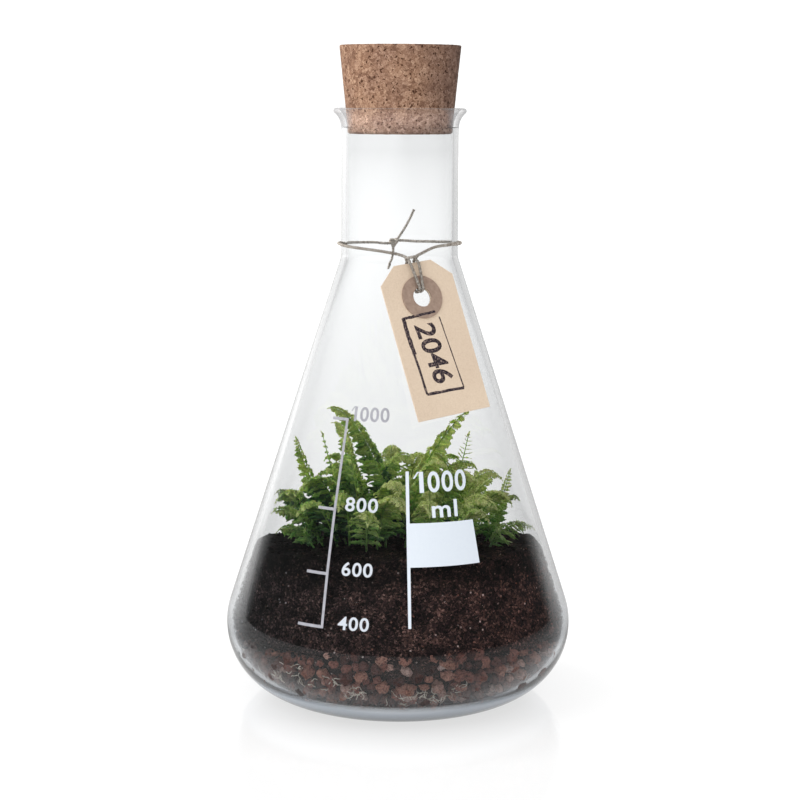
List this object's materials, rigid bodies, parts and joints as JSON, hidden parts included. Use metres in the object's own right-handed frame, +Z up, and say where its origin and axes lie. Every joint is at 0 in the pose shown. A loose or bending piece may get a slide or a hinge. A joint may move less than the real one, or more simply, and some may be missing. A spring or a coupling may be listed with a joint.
{
  "type": "glass plant terrarium",
  "caption": "Corked conical glass flask holding clay granules, dark soil and small ladder ferns, with a card tag on twine round its neck.",
  "frame": {"origin": "on the table, under the middle of the flask's base", "axes": "+Z up along the flask's axis, -Y towards the printed scale and the tag, +X to the right of a viewer facing them"},
  "size_m": [0.131, 0.131, 0.2439],
  "materials": {
    "flask_glass": "clear polished borosilicate glass with a white printed scale",
    "cork": "pressed cork granules, matte, with dark pores",
    "clay_granules": "unglazed baked clay, matte",
    "potting_soil": "moist dark crumbly potting soil, matte",
    "fern_leaf": "fresh green leaf, thin, satin",
    "tag_card": "buff manila card, matte, with a stamped frame",
    "ring_fibre": "brown vulcanised fibre ring, matte",
    "twine_string": "thin twisted linen twine, matte"
  },
  "bodies": {
    "root": {"flask": "flask_glass", "cork_stopper": "cork", "gravel_layer": "clay_granules", "soil": "potting_soil", "frond_01": "fern_leaf", "frond_02": "fern_leaf", "frond_03": "fern_leaf", "frond_04": "fern_leaf", "frond_05": "fern_leaf", "frond_06": "fern_leaf", "frond_07": "fern_leaf", "frond_08": "fern_leaf", "frond_09": "fern_leaf", "frond_10": "fern_leaf", "frond_11": "fern_leaf", "frond_12": "fern_leaf", "frond_13": "fern_leaf", "frond_14": "fern_leaf", "frond_15": "fern_leaf", "frond_16": "fern_leaf", "frond_17": "fern_leaf", "frond_18": "fern_leaf", "frond_19": "fern_leaf", "frond_20": "fern_leaf", "frond_21": "fern_leaf", "frond_22": "fern_leaf", "frond_23": "fern_leaf", "frond_24": "fern_leaf", "frond_25": "fern_leaf", "frond_26": "fern_leaf", "frond_27": "fern_leaf", "frond_28": "fern_leaf", "frond_29": "fern_leaf", "frond_30": "fern_leaf", "frond_31": "fern_leaf", "frond_32": "fern_leaf", "frond_33": "fern_leaf", "frond_34": "fern_leaf", "frond_35": "fern_leaf", "frond_36": "fern_leaf", "frond_37": "fern_leaf", "frond_38": "fern_leaf", "frond_39": "fern_leaf", "frond_40": "fern_leaf", "frond_41": "fern_leaf", "frond_42": "fern_leaf", "frond_43": "fern_leaf", "frond_44": "fern_leaf", "frond_45": "fern_leaf", "frond_46": "fern_leaf", "frond_47": "fern_leaf", "frond_48": "fern_leaf", "tag": "tag_card", "tag_ring_front": "ring_fibre", "tag_ring_back": "ring_fibre", "twine": "twine_string"}
  },
  "joints": []
}
